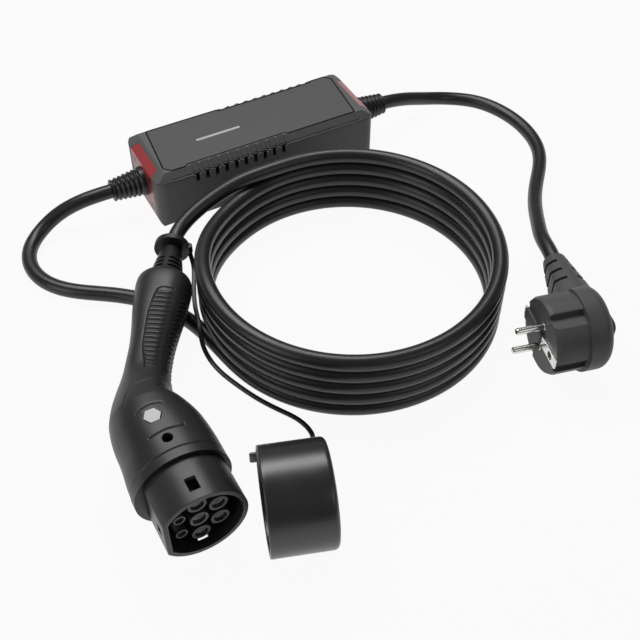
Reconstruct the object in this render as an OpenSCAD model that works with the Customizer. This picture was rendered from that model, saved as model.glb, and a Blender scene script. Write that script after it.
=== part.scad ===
// Portable electric vehicle charger: a control box with a mains lead and angled plug on one end, and on
// the other a coiled charging cable with a pistol-grip vehicle connector and a tethered dust cap.
// Millimetres. Origin under the middle of the control box, +X along the box, +Z up.

/* [Control box] */
// Length of the box
box_l = 186; // [178:1:196]
// Width of the box
box_w = 66; // [62:1:76]
// Height of the box, with its panel
box_h = 48; // [46:1:56]
// Wall of the base shell
wall = 3; // [2.6:0.1:3.6]
// Radius of the upright corners
corner_r = 8; // [7:0.5:12]
// Radius of the bottom edges
foot_r = 6; // [4:0.5:6.5]
// Height of the sloping rim round the top
rim_drop = 6; // [5:0.5:7]
// Run of the sloping rim along the long sides
side_slope = 6; // [5:0.5:7]
// Run of the sloping rim at the ends
end_slope = 9; // [8:0.5:11]
// Thickness of the red end plates
plate_t = 6.5; // [5.5:0.5:7.5]
// Width of an end plate on the upright end face
plate_w = 42; // [36:1:44]
// Width of an end plate at its top edge
plate_top_w = 34; // [28:1:36]
// Height of an end plate's lower edge
plate_z = 5; // [4:0.5:8]
// Clearance between pieces that fit into each other
fit = 0.15; // [0.1:0.05:0.25]

/* [Touch panel] */
// Length of the panel
panel_l = 165; // [150:1:166]
// Width of the panel
panel_w = 52.4; // [48:0.2:52.6]
// Thickness of the panel
panel_t = 1.4; // [1:0.1:1.6]
// Width of the groove round the panel
panel_gap = 0.6; // [0.4:0.1:1]
// Step of the panel's edge beside each grip
panel_step = 1.7; // [1:0.1:2.4]
// Cut of the panel's corners
panel_corner = 5; // [3:0.5:7]
// Length of the light bar
light_l = 37; // [30:1:44]
// Width of the light bar
light_w = 2.4; // [2:0.2:3.2]
// Place of the light bar's middle along the box
light_x = -29; // [-34:1:-22]
// Place of the light bar's middle across the box
light_y = -1.5; // [-4:0.5:4]

/* [Grip and vents] */
// Number of flutes and vent slots in a grip
slot_count = 10; // [6:1:10]
// Spacing of the slots
slot_pitch = 8; // [7:0.2:8.4]
// Width of a vent slot
slot_w = 3.2; // [2:0.2:4]
// Height of a vent slot
slot_h = 6; // [4:0.5:8]
// Width of a flute
flute_w = 5.6; // [4:0.2:6.4]
// Depth of a flute
flute_depth = 0.8; // [0.4:0.1:1.2]
// Place of the first slot along the box
slot_x = -60; // [-64:1:-57]

/* [Inside the box] */
// Length of the main board
board_l = 136; // [120:1:138]
// Width of the main board
board_w = 50; // [44:1:54]
// Thickness of the main board
board_t = 1.6; // [1.2:0.2:2]
// Height of the posts under the main board
post_h = 5; // [4:0.5:8]
// Radius of a board post
post_r = 3.2; // [2.8:0.2:4]
// Distance of the posts from the board's edges
post_inset = 5; // [4.5:0.5:7]
// Radius of the pillars that take the cover screws
pillar_r = 4.2; // [3.8:0.2:5]
// Distance of the pillars along the box from its middle
pillar_x = 75; // [74:1:77]
// Distance of the pillars across the box from its middle
pillar_y = 22; // [20:1:24]
// Radius of a screw's shank
screw_r = 1.5; // [1.2:0.1:1.8]
// Radius of a screw's head
screw_head_r = 2.8; // [2.4:0.1:3.2]
// Height of a screw's head
screw_head_h = 1.8; // [1.4:0.1:2.4]

/* [Boots on the box] */
// Height of the boots' axis
boot_z = 25; // [22:1:27]
// Length of a boot outside the box
boot_l = 26; // [22:1:30]
// Radius of a boot at the box
boot_r = 11.5; // [10:0.5:13]
// Radius of a boot at the cable
boot_tip_r = 8.5; // [7.5:0.5:9.5]
// Number of rings on a boot
boot_rings = 6; // [4:1:8]
// Depth of the grooves between the rings
boot_groove = 1.3; // [0.8:0.1:1.8]
// Radius of a boot's neck inside the box
neck_r = 8; // [7:0.5:9]
// Length of a cord clamp along the neck
clamp_l = 7; // [5:1:8]
// Thickness of a cord clamp round the neck
clamp_t = 3.5; // [2.5:0.5:4]

/* [Charging cable] */
// Diameter of the charging cable
cable_d = 11; // [10:0.5:11]
// Mean radius of the coil
coil_r = 102; // [101:0.25:102.5]
// Space left between turns of the coil
coil_gap = 0.05; // [0.05:0.05:0.2]
// Number of turns in the stack
coil_turns = 5; // [5:1:6]

/* [Mains lead and plug] */
// Diameter of the mains lead
mains_d = 11; // [9:0.5:11]
// Radius of the plug's drum
drum_r = 26.5; // [25:0.25:27.5]
// Length of the plug's drum
drum_l = 23; // [20:0.5:24]
// Depth of the plug from its face to its back
plug_depth = 43; // [42:0.5:46]
// Rounding of the plug's back edge
plug_round = 8; // [6:0.5:10]
// Diameter of a plug pin
pin_d = 4.8; // [4.7:0.05:4.9]
// Spacing of the plug pins
pin_gap = 19; // [18.5:0.5:19.5]
// Length of the plug pins
pin_l = 19; // [18:0.5:20]
// Length of the plug's boot
plug_boot_l = 47; // [44:0.5:49]
// Half width of the plug's boot at the body
plug_boot_w = 12; // [11:0.25:12.5]
// Half height of the plug's boot at the body
plug_boot_h = 18; // [16:0.5:18.5]
// Radius of the plug's boot at the lead
plug_boot_tip_r = 8; // [7.4:0.2:8.6]

/* [Vehicle connector] */
// Radius of the nose
nose_r = 27.5; // [26.5:0.25:28.5]
// Distance of the nose's flat from its axis
nose_flat = 23.5; // [23:0.25:24.5]
// Length of the nose ahead of the collar
nose_l = 28.5; // [26:0.5:30]
// Wall of the nose
nose_wall = 3; // [2.5:0.25:3.25]
// Radius of the collar
collar_r = 30.5; // [30:0.25:31.5]
// Length of the collar ring
collar_l = 6; // [4:0.5:8]
// Distance of the contact towers behind the nose's rim
tower_recess = 4.5; // [3:0.5:6]
// Radius of a power contact's tower
tower_r = 5.8; // [5.5:0.1:6]
// Radius of a signal contact's tower
small_tower_r = 3.7; // [3.4:0.1:4]
// Radius of a power contact's bore
contact_r = 3; // [2.9:0.05:3.1]
// Radius of a signal contact's bore
small_contact_r = 1.5; // [1.4:0.05:1.6]
// Wall of a contact sleeve
sleeve_wall = 1; // [0.8:0.1:1.2]
// Spacing of the contacts in a row
row_gap = 14.2; // [13.8:0.1:14.6]
// Distance of the signal row from the middle row
signal_row = 11.5; // [11:0.25:12.5]
// Distance of the far power row from the middle row
power_row = 12.5; // [12:0.25:13]
// Shift of the contacts toward the nose's flat
contact_shift = 1; // [0:0.25:1.5]
// Distance of the contact sleeves behind the ends of their towers
sleeve_recess = 2.5; // [1:0.5:4]
// Depth of the carrier plate behind the towers
carrier_t = 8; // [6:0.5:10]
// Distance of the grip's bend behind the rim of the nose
bend_y = 95; // [93:0.5:97]
// Angle of the grip to the nose
bend_deg = 30.7; // [29.5:0.1:32]
// Length of the grip behind the bend
grip_l = 109.5; // [108:0.5:112]
// Number of ribs on the grip
rib_count = 17; // [8:1:20]
// Height of a rib
rib_h = 0.8; // [0.4:0.1:1.2]
// Length of the slotted boot behind the grip
handle_boot_l = 30; // [28:0.5:32]
// Radius of the slotted boot at the grip
handle_boot_r = 12; // [11:0.2:12.4]
// Radius of the slotted boot at the cable
handle_boot_tip_r = 7.2; // [6.8:0.2:8]

/* [Dust cap] */
// Outer radius of the cap
cap_r = 32.5; // [31.5:0.25:34]
// Wall of the cap
cap_wall = 2.4; // [2:0.2:3]
// Length of the cap
cap_l = 40; // [36:1:44]
// Width of the tether strap
strap_w = 3.2; // [2.6:0.2:4]
// Thickness of the tether strap
strap_t = 2; // [1.6:0.1:2.2]
// Outer radius of the tether ring
ring_r = 12.5; // [11:0.5:13.5]
// Length of the tether ring along the cable
ring_l = 4; // [3:0.5:6]

/* [Hidden] */
$fn = 64;

// Colours
shell_grey = [0.20, 0.20, 0.21];
panel_grey = [0.34, 0.34, 0.35];
rubber_black = [0.10, 0.10, 0.11];
handle_black = [0.15, 0.15, 0.16];
plate_red = [0.62, 0.14, 0.16];
pin_silver = [0.80, 0.80, 0.82];
light_white = [0.92, 0.93, 0.94];
board_green = [0.10, 0.32, 0.20];

// A cut runs this far past the face that it opens
over = 1;

// Heights in the box
split_z = box_h - rim_drop;
cover_t = panel_t + 1.6;
board_z = wall + post_h;
component_z = board_z + board_t;

// Ends of the box: the plate lies in a pocket, with a wall of the base behind it
plate_x = box_l / 2 - plate_t;
inner_l = 2 * (plate_x - wall);
inner_w = box_w - 2 * wall;
plate_hole_y = plate_w / 2 - 6;
plate_hole_z = [plate_z + 6, split_z - 6];
plate_screw_l = plate_t + wall - 1;
boot_neck_end = plate_x - wall - clamp_l - 3;

// Grooves in the long edges start here, and the other side is the same turned half way round
grip_l_box = (slot_count - 1) * slot_pitch + flute_w + 4;
grip_x = slot_x - flute_w / 2 - 2;

// Cover screws go up through the pillars
cover_screw_l = split_z + 1.8 - screw_head_h;

// Routes of the free leads, from the boots on the box to the coil and the plug
cable_axis_z = cable_d / 2;
output_route = [
  [-132, 1, 24.5], [-148, 4, 20.5], [-165, 6, 13], [-180, 1, 6.5], [-191, -11, 5.5], [-196, -31, 5.5],
  [-191, -51, 5.5], [-179, -66, 5.5], [-161, -79, 5.5], [-141, -94, 5.5], [-124, -114, 5.5],
  [-113, -136, 5.5]
];
connector_route = [
  [-33, -61.4, 49], [-41, -60.8, 47.2], [-50, -60.8, 44.6], [-61, -61.6, 41.3], [-75, -64.2, 37.4],
  [-86.5, -68, 33.8]
];
mains_route = [
  [132, 0.4, 23.4], [145, 2.2, 19.6], [160, 4, 13.4], [177, 4.8, 7.8], [193.2, -1, 5.5], [207.6, -13, 5.5],
  [217.6, -31.4, 5.5], [222.4, -53, 5.5], [221.4, -75, 5.5], [215, -95, 5.5], [203, -112, 5.7],
  [188, -128, 7.2], [172.6, -145.8, 10.6], [158.6, -165.2, 15.6], [146.6, -184, 20.8], [138, -199.4, 24.6]
];
strap_route = [
  [-94.5, -99, 20.5], [-98.5, -108.8, 17.5], [-104.5, -122.4, 15], [-109, -136.6, 14], [-112, -149, 13.4],
  [-115.2, -160, 8.2], [-115, -170, 2.8], [-112.4, -184, 1.2], [-107.6, -198.6, 1.2], [-101, -214.4, 1.2],
  [-92, -230.6, 1.2],
  [-84.5, -244, 1.2], [-82.5, -256, 2.2], [-85, -264, 6], [-90, -269, 12.5], [-96, -272.5, 18.5]
];

// Places of the coil, the plug, the connector and the cap
coil_centre = [-2.5, -164];
coil_start = 190;
coil_end = 90;
coil_entry = 34;
coil_run = 22;
lead_run = 14;
plug_face = [80, -275];
plug_turn = 166;
nose_face = [-174.5, -303];
nose_turn = 0.5;
cap_rim = [-139.5, -306.5];
cap_turn = -18.5;

// Points on the coil's middle line: the turn's number from the bottom, and the angle round the coil
function coil_z(turn) = cable_d / 2 + turn * (cable_d + coil_gap);
function coil_point(turn, angle) =
  [coil_centre.x + coil_r * cos(angle), coil_centre.y + coil_r * sin(angle), coil_z(turn)];
function coil_along(angle) = [-sin(angle), cos(angle), 0];

// Plug frame: x out along the pins, y away from the lead, z up. Its drum rests on the ground.
plug_z = drum_r;
plug_r = drum_r + 2;
boot_root = 17;
boot_root_x = plug_boot_w - plug_depth - 0.6;
boot_tip = [-36.4, -boot_root - plug_boot_l, 0];
boot_lean = atan2(boot_root_x - boot_tip.x, plug_boot_l);
boot_run = norm([boot_root_x - boot_tip.x, plug_boot_l]);
function turned(p, angle) =
  [p.x * cos(angle) - p.y * sin(angle), p.x * sin(angle) + p.y * cos(angle), p.z];
function plug_point(p) = turned(p, plug_turn) + [plug_face.x, plug_face.y, plug_z];

// Connector frame: x to the right, y back from the rim of the nose, z up. Its collar rests on the ground.
connector_z = collar_r;
function cap_point(p) = turned(p, cap_turn) + [cap_rim.x, cap_rim.y, cap_r];
function connector_point(p) = turned(p, nose_turn) + [nose_face.x, nose_face.y, connector_z];
handle_y = nose_l + collar_l;
bend_reach = 30;
bend_r = bend_reach / tan(bend_deg / 2);
bend_start = bend_y - bend_reach;
bend_arc = bend_r * bend_deg * PI / 180;
handle_length = bend_start - handle_y + bend_arc + grip_l - bend_reach;

// Middle line of the handle at a distance behind the collar ring, and its angle there
function handle_angle(t) =
  t < bend_start - handle_y ? 0 : min(bend_deg, (t - bend_start + handle_y) / bend_r * 180 / PI);
function handle_centre(t) =
  let (a = handle_angle(t), past = max(0, t - (bend_start - handle_y) - bend_arc))
  t < bend_start - handle_y
    ? [0, handle_y + t, 0]
    : [bend_r * (1 - cos(a)) + past * sin(a), bend_start + bend_r * sin(a) + past * cos(a), 0];
function behind_handle(distance) =
  handle_centre(handle_length) + distance * [sin(bend_deg), cos(bend_deg), 0];

// Half width, half height and squareness of the handle, at shares of its length
handle_form = [
  [0, 30.5, 30.5, 2], [0.083, 30.5, 30.5, 2], [0.178, 29.3, 30, 2], [0.278, 26.3, 28, 2.05],
  [0.331, 23, 24.8, 2.1], [0.385, 19.4, 21.2, 2.15], [0.438, 16.4, 18, 2.2], [0.485, 14.8, 16.1, 2.3],
  [0.556, 14.4, 15.6, 2.4],
  [0.627, 14.6, 15.7, 2.4], [0.716, 15.9, 16.2, 2.4], [0.805, 17.7, 16.9, 2.4], [0.893, 18.8, 17.3, 2.3],
  [0.94, 19.2, 17.4, 2.25], [0.97, 18.6, 17, 2.2], [0.988, 16.8, 15.6, 2.1], [1, 13.2, 12.6, 2]
];
function smooth(a, b, c, d, u) =
  b + u * (c - a) / 2 + u * u * (a - 2.5 * b + 2 * c - d / 2)
  + u * u * u * (-a / 2 + 1.5 * b - 1.5 * c + d / 2);
function form_at(share) =
  let (
    last = len(handle_form) - 1,
    i = max([for (k = [0:last - 1]) if (handle_form[k][0] <= share) k]),
    u = (share - handle_form[i][0]) / (handle_form[i + 1][0] - handle_form[i][0]),
    rows = [handle_form[max(i - 1, 0)], handle_form[i], handle_form[i + 1], handle_form[min(i + 2, last)]]
  )
  [for (c = [1:3]) smooth(rows[0][c], rows[1][c], rows[2][c], rows[3][c], u)];

// Ribs on the upper side of the grip, and beside them along its inner side
rib_from = 0.50;
rib_to = 0.90;
rib_mid_deg = 97;
rib_half_deg = 15;
inner_rib_from = 8;
inner_rib_to = 44;
rib_pitch = (rib_to - rib_from) / rib_count;
side_count = 24;
plain_rows = 30;
function rib_rows() = [
  for (i = [0:rib_count - 1], u = [0.15, 0.3, 0.6, 0.75]) rib_from + (i + u) * rib_pitch
];
function rib_rise(row) = row % 4 == 1 || row % 4 == 2 ? rib_h : 0;
function rib_here(angle) =
  abs(angle - rib_mid_deg) < rib_half_deg || (angle > inner_rib_from && angle < inner_rib_to) ? 1 : 0;
function power(v, n) = sign(v) * pow(abs(v), n);

// The inner side draws in where the head meets the grip
dip_depth = 5;
dip_at = 0.335;
dip_width = 0.05;
function inner_dip(share, angle) =
  dip_depth * exp(-pow((share - dip_at) / dip_width, 2) / 2) * pow(max(0, cos(angle)), 2);

// The head is a little flatter on its outer side
flat_depth = 2.2;
flat_at = 0.14;
flat_width = 0.07;
function outer_dip(share, angle) =
  flat_depth * exp(-pow((share - flat_at) / flat_width, 2) / 2) * pow(max(0, -cos(angle)), 2);
function handle_row(share, rise, half) =
  let (
    form = form_at(share),
    centre = handle_centre(share * handle_length),
    turn = handle_angle(share * handle_length)
  )
  [for (k = [0:side_count])
    let (
      angle = 180 * k / side_count,
      lift = rise * rib_here(angle),
      draw = inner_dip(share, angle) - outer_dip(share, angle),
      across = (form[0] + lift) * power(cos(angle), 2 / form[2]) - draw,
      up = (form[1] + lift) * power(sin(angle), 2 / form[2])
    )
    centre + [across * cos(turn), -across * sin(turn), k == 0 || k == side_count ? 0 : half * up]
  ];

// Shapes that repeat
module plan(l, w, r) {
  square([l - 2 * r, w], center = true);
  square([l, w - 2 * r], center = true);
  for (x = [-1, 1], y = [-1, 1])
    translate([x * (l / 2 - r), y * (w / 2 - r)]) circle(r);
}

module rim_profile(w, slope) {
  polygon([
    [-w / 2, foot_r], [w / 2, foot_r], [w / 2, split_z], [w / 2 - slope, box_h],
    [slope - w / 2, box_h], [-w / 2, split_z]
  ]);
  translate([foot_r - w / 2, 0]) square([w - 2 * foot_r, foot_r + over]);
  for (x = [-1, 1]) translate([x * (w / 2 - foot_r), foot_r]) circle(foot_r);
}

module box_form() {
  intersection() {
    linear_extrude(box_h) plan(box_l, box_w, corner_r);
    rotate([90, 0, 0]) linear_extrude(box_w + 2 * over, center = true) rim_profile(box_l, end_slope);
    rotate([90, 0, 90]) linear_extrude(box_l + 2 * over, center = true) rim_profile(box_w, side_slope);
  }
}

module both_ends() {
  children();
  rotate(180) children();
}

module plate_form(gap) {
  translate([plate_x - gap, 0, 0])
    rotate([90, 0, 90])
      linear_extrude(plate_t + over)
        polygon([
          [-plate_w / 2 - gap, plate_z - gap], [plate_w / 2 + gap, plate_z - gap],
          [plate_w / 2 + gap, split_z], [plate_top_w / 2 + gap, box_h + over],
          [-plate_top_w / 2 - gap, box_h + over], [-plate_w / 2 - gap, split_z]
        ]);
}

module along_x(x, y, z) {
  translate([x, y, z]) rotate([0, 90, 0]) children();
}

module plate_screw_places() {
  for (y = [-1, 1], z = plate_hole_z) translate([0, y * plate_hole_y, z]) children();
}

module pillar_places() {
  for (x = [-1, 1], y = [-1, 1]) translate([x * pillar_x, y * pillar_y, 0]) children();
}

module post_places() {
  for (x = [-1, 1], y = [-1, 1])
    translate([x * (board_l / 2 - post_inset), y * (board_w / 2 - post_inset), 0]) children();
}

module slot_places() {
  for (i = [0:slot_count - 1]) translate([slot_x + i * slot_pitch, -box_w / 2, split_z]) children();
}

// Panel outline, grown by a gap: stepped in beside each grip, the same turned half way round
module panel_outline(gap) {
  hl = panel_l / 2 + gap;
  hw = panel_w / 2 + gap;
  c = panel_corner;
  from = grip_x;
  to = grip_x + grip_l_box;
  half = [
    [-hl, -hw + c], [-hl + c, -hw], [from - panel_step, -hw], [from, -hw + panel_step],
    [to, -hw + panel_step], [to + panel_step, -hw], [hl - c, -hw]
  ];
  polygon(concat(half, [for (p = half) -p]));
}

module screw(length) {
  cylinder(h = screw_head_h, r1 = screw_head_r, r2 = screw_r);
  translate([0, 0, screw_head_h]) cylinder(h = length, r = screw_r);
}

module at_connector() {
  translate([nose_face.x, nose_face.y, connector_z]) rotate(nose_turn) children();
}

module back_from(y) {
  translate([0, y, 0]) rotate([-90, 0, 0]) children();
}

module behind_grip(distance) {
  p = behind_handle(distance);
  translate([p.x, p.y, 0]) rotate(-bend_deg) rotate([-90, 0, 0]) children();
}

module at_plug() {
  translate([plug_face.x, plug_face.y, plug_z]) rotate(plug_turn) children();
}

module at_cap() {
  translate([cap_rim.x, cap_rim.y, cap_r]) rotate(cap_turn) children();
}

module nose_outline(r, flat) {
  intersection() {
    circle(r);
    translate([-flat, -r]) square([flat + r, 2 * r]);
  }
}

module power_places() {
  for (z = [-1:1]) translate([-contact_shift, z * row_gap]) children();
  for (z = [-0.5, 0.5]) translate([power_row - contact_shift, z * row_gap]) children();
}

module signal_places() {
  for (z = [-0.5, 0.5]) translate([-signal_row - contact_shift, z * row_gap]) children();
}

// A section carried along a route: rings of points set square to the route, closed at both ends
function unit(v) = v / norm(v);
function run_at(route, i) = unit(route[min(i + 1, len(route) - 1)] - route[max(i - 1, 0)]);
function section_ring(route, i, section) =
  let (run = run_at(route, i), side = unit(cross(run, [0, 0, 1])), up = cross(side, run))
  [for (p = section) route[i] + p.x * side + p.y * up];

// The route gains a point in the middle of each stretch, on a smooth curve, and its ends stay straight
function eased(route) =
  let (last = len(route) - 1)
  [for (i = [0:last - 1])
    each [
      route[i],
      i == 0 || i == last - 1
        ? (route[i] + route[i + 1]) / 2
        : smooth(route[i - 1], route[i], route[i + 1], route[i + 2], 0.5)
    ],
    route[last]
  ];

module swept(points, section) {
  route = eased(points);
  skinned([for (i = [0:len(route) - 1]) section_ring(route, i, section)]);
}

module skinned(rings) {
  n = len(rings[0]);
  rows = len(rings);
  points = [for (ring = rings) each ring];
  walls = [
    for (i = [0:rows - 2], k = [0:n - 1])
      [i * n + k, i * n + (k + 1) % n, (i + 1) * n + (k + 1) % n, (i + 1) * n + k]
  ];
  first = [for (k = [n - 1:-1:0]) k];
  last = [for (k = [0:n - 1]) (rows - 1) * n + k];
  polyhedron(points, concat(walls, [first, last]));
}

function round_section(d, sides) = [
  for (k = [0:sides - 1]) d / 2 * [cos(-360 * (k + 0.5) / sides), sin(-360 * (k + 0.5) / sides)]
];
function flat_section(w, t) =
  let (c = t / 3)
  [
    [w / 2, t / 2 - c], [w / 2, c - t / 2], [w / 2 - c, -t / 2], [c - w / 2, -t / 2],
    [-w / 2, c - t / 2], [-w / 2, t / 2 - c], [c - w / 2, t / 2], [w / 2 - c, t / 2]
  ];

// Ringed boot, turned about its axis, with a neck that reaches into the box
module ringed_boot() {
  ring_pitch = (boot_l - 4) / boot_rings;
  function boot_at(x) = boot_r + (boot_tip_r - boot_r) * x / boot_l;
  rings = [
    for (i = [0:boot_rings - 1])
      let (x = 3 + i * ring_pitch)
      each [
        [boot_at(x), x], [boot_at(x) - boot_groove, x + 0.25 * ring_pitch],
        [boot_at(x) - boot_groove, x + 0.45 * ring_pitch], [boot_at(x), x + 0.7 * ring_pitch]
      ]
  ];
  neck = box_l / 2 - boot_neck_end;
  along_x(box_l / 2, 0, boot_z)
    rotate_extrude()
      polygon(concat(
        [[0, -neck], [neck_r, -neck], [neck_r, 0], [boot_r, 0]],
        rings,
        [[boot_tip_r, boot_l], [0, boot_l]]
      ));
}

// Control box
module base_shell() {
  color(shell_grey)
  difference() {
    union() {
      difference() {
        intersection() {
          box_form();
          translate([-box_l, -box_w, 0]) cube([2 * box_l, 2 * box_w, split_z]);
        }
        translate([0, 0, wall])
          linear_extrude(box_h) plan(inner_l, inner_w, corner_r - wall);
      }
      pillar_places() translate([0, 0, wall - fit]) cylinder(h = split_z - wall + fit, r = pillar_r);
      post_places() translate([0, 0, wall - fit]) cylinder(h = post_h + fit, r = post_r);
    }
    both_ends() {
      plate_form(fit);
      along_x(plate_x - wall - over, 0, boot_z) cylinder(h = wall + 2 * over, r = neck_r + fit);
      plate_screw_places()
        along_x(plate_x - wall - over, 0, 0) cylinder(h = wall + 2 * over, r = screw_r + fit / 2);
      slot_places()
        translate([-slot_w / 2, -over, -slot_h]) cube([slot_w, wall + 2 * over, slot_h + over]);
    }
    pillar_places() {
      translate([0, 0, -over]) cylinder(h = box_h, r = screw_r + fit);
      translate([0, 0, -over]) cylinder(h = over + screw_head_h + fit, r = screw_head_r + fit);
    }
  }
}

module top_cover() {
  grip_angle = atan2(rim_drop, side_slope);
  grip_run = norm([rim_drop, side_slope]);
  under_l = 2 * (box_l / 2 - end_slope - plate_t);
  under_w = box_w - 2 * side_slope - 2 * wall;
  color(shell_grey)
  difference() {
    intersection() {
      box_form();
      translate([-box_l, -box_w, split_z]) cube([2 * box_l, 2 * box_w, box_h]);
    }
    translate([0, 0, box_h - panel_t]) linear_extrude(panel_t + over) panel_outline(panel_gap);
    translate([0, 0, split_z - over])
      linear_extrude(rim_drop + over - cover_t)
        difference() {
          plan(under_l, under_w, corner_r - wall);
          pillar_places() circle(pillar_r);
        }
    translate([0, 0, split_z - over]) linear_extrude(over + gasket_t + fit) gasket_outline(fit);
    pillar_places() translate([0, 0, split_z - over]) cylinder(h = over + 2, r = screw_r + fit / 2);
    both_ends() {
      plate_form(fit);
      slot_places()
        rotate([grip_angle, 0, 0])
          translate([-flute_w / 2, -over, -flute_depth])
            cube([flute_w, grip_run + 2 * over, 2 * flute_depth + over]);
    }
  }
}

// Seal in a groove round the cover's underside
gasket_t = 1.2;
gasket_w = 1.6;
gasket_in = 0.7;
module gasket_outline(gap) {
  outer_l = 2 * (plate_x - gasket_in) + 2 * gap;
  outer_w = box_w - 2 * gasket_in - 2 * wall / 5 + 2 * gap;
  r = corner_r - gasket_in + gap;
  difference() {
    plan(outer_l, outer_w, r);
    plan(outer_l - 2 * gasket_w - 4 * gap, outer_w - 2 * gasket_w - 4 * gap, r - gasket_w - 2 * gap);
  }
}

module cover_gasket() {
  color(rubber_black) translate([0, 0, split_z]) linear_extrude(gasket_t) gasket_outline(0);
}

module touch_panel() {
  color(panel_grey)
  translate([0, 0, box_h - panel_t])
    difference() {
      linear_extrude(panel_t) panel_outline(0);
      translate([light_x, light_y, -over]) linear_extrude(panel_t + 2 * over) light_outline(fit);
    }
}

module light_outline(gap) {
  square([light_l - light_w, light_w + 2 * gap], center = true);
  for (x = [-1, 1]) translate([x * (light_l - light_w) / 2, 0]) circle(light_w / 2 + gap);
}

module light_bar() {
  color(light_white)
  translate([light_x, light_y, box_h - panel_t]) linear_extrude(panel_t) light_outline(0);
}

module end_plate() {
  color(plate_red)
  difference() {
    intersection() {
      box_form();
      plate_form(0);
    }
    along_x(plate_x - over, 0, boot_z) cylinder(h = plate_t + 2 * over, r = neck_r + fit);
    plate_screw_places() along_x(plate_x - over, 0, 0) {
      cylinder(h = plate_t + 2 * over, r = screw_r + fit);
      translate([0, 0, over + plate_t - screw_head_h - fit])
        cylinder(h = screw_head_h + fit + over, r = screw_head_r + fit);
    }
  }
}

module output_end_plate() { rotate(180) end_plate(); }

module input_end_plate() { end_plate(); }

module output_boot() { color(rubber_black) rotate(180) ringed_boot(); }

module input_boot() { color(rubber_black) ringed_boot(); }

module end_plate_screws() {
  color(pin_silver)
  both_ends()
    plate_screw_places()
      translate([box_l / 2, 0, 0]) rotate([0, -90, 0]) screw(plate_screw_l - screw_head_h);
}

module cover_screws() {
  color(pin_silver) pillar_places() screw(cover_screw_l);
}

module main_board() {
  color(board_green)
  translate([0, 0, board_z]) translate([-board_l / 2, -board_w / 2, 0]) cube([board_l, board_w, board_t]);
}

// Parts that stand on the main board
relay_size = [28, 20, 26];
relay_x = -34;
relay_gap = 4;
module relays() {
  color([0.15, 0.2, 0.45])
  for (y = [-1, 1])
    translate([relay_x, y * (relay_size.y + relay_gap) / 2, component_z])
      translate([-relay_size.x / 2, -relay_size.y / 2, 0]) cube(relay_size);
}

sensor_r = 13;
sensor_hole_r = 7;
sensor_t = 12;
sensor_x = -4;
module leakage_sensor() {
  color([0.1, 0.1, 0.1])
  difference() {
    translate([sensor_x, 0, component_z]) {
      translate([-sensor_t / 2, -sensor_r, 0]) cube([sensor_t, 2 * sensor_r, sensor_r / 2]);
      along_x(-sensor_t / 2, 0, sensor_r) cylinder(h = sensor_t, r = sensor_r);
    }
    along_x(sensor_x - sensor_t / 2 - over, 0, component_z + sensor_r)
      cylinder(h = sensor_t + 2 * over, r = sensor_hole_r);
  }
}

supply_size = [34, 30, 22];
coil_former = [22, 36, 16];
supply_x = 30;
module power_supply() {
  color([0.75, 0.65, 0.2])
  translate([supply_x, 0, component_z]) {
    translate([-supply_size.x / 2, -supply_size.y / 2, 0]) cube(supply_size);
    translate([-coil_former.x / 2, -coil_former.y / 2, 0]) cube(coil_former);
  }
}

terminal_size = [12, 30, 14];
terminal_bore = 2;
terminal_inset = 6;
module terminal_blocks() {
  color([0.2, 0.4, 0.25])
  both_ends()
    difference() {
      translate([board_l / 2 - terminal_size.x - terminal_inset, -terminal_size.y / 2, component_z])
        cube(terminal_size);
      for (i = [-1:1])
        translate([
          board_l / 2 - terminal_size.x / 2 - terminal_inset, i * terminal_size.y / 3, component_z + over
        ])
          cylinder(h = terminal_size.z, r = terminal_bore);
    }
}

module cord_clamps() {
  width = 2 * (neck_r + clamp_t);
  color(shell_grey)
  both_ends()
    difference() {
      union() {
        translate([plate_x - wall - clamp_l - over, -width / 2, wall])
          cube([clamp_l, width, boot_z - wall]);
        along_x(plate_x - wall - clamp_l - over, 0, boot_z) cylinder(h = clamp_l, r = width / 2);
      }
      along_x(plate_x - wall - clamp_l - 2 * over, 0, boot_z)
        cylinder(h = clamp_l + 2 * over, r = neck_r + fit);
    }
}

display_size = [120, 34, 1.2];
module display_board() {
  color(board_green)
  translate([-display_size.x / 2, -display_size.y / 2, box_h - cover_t - display_size.z])
    cube(display_size);
}

// Mains lead and plug
module mains_lead() {
  start = [box_l / 2 + boot_l, 0, boot_z];
  tip = plug_point(boot_tip);
  before = plug_point(boot_tip - lead_run * [sin(boot_lean), cos(boot_lean), 0]);
  color(rubber_black)
  swept(
    concat([start, start + [lead_run / 2, 0, 0]], mains_route, [before, tip]), round_section(mains_d, 10)
  );
}

// Boot of the plug: a cone with flattened sides, leaning back, with slots across it
module plug_boot() {
  slot_t = 2.6;
  slot_pitch_boot = 10.5;
  first = 7;
  web = [-5, 2];
  far = boot_run + 4;
  reach = plug_boot_w + plug_boot_h;
  function half(full) = plug_boot_tip_r + (full - plug_boot_tip_r) * far / boot_run;
  color(rubber_black)
  at_plug()
    intersection() {
      translate([-2 * plug_depth, -boot_root - 2 * boot_run, -reach])
        cube([2 * plug_depth, 2 * boot_run, 2 * reach]);
      translate(boot_tip) rotate(-boot_lean) rotate([-90, 0, 0])
        difference() {
          intersection() {
            cylinder(h = far, r1 = plug_boot_tip_r, r2 = half(plug_boot_h));
            rotate([90, 0, 0])
              linear_extrude(4 * reach, center = true)
                polygon([
                  [-plug_boot_tip_r - fit, -over], [plug_boot_tip_r + fit, -over],
                  [half(plug_boot_w), far + over], [-half(plug_boot_w), far + over]
                ]);
          }
          for (i = [0:2]) {
            z = first + i * slot_pitch_boot;
            translate([web[1], -reach, z]) cube([reach, 2 * reach, slot_t]);
            translate([web[0] - reach, -reach, z]) cube([reach, 2 * reach, slot_t]);
          }
        }
    }
}

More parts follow.
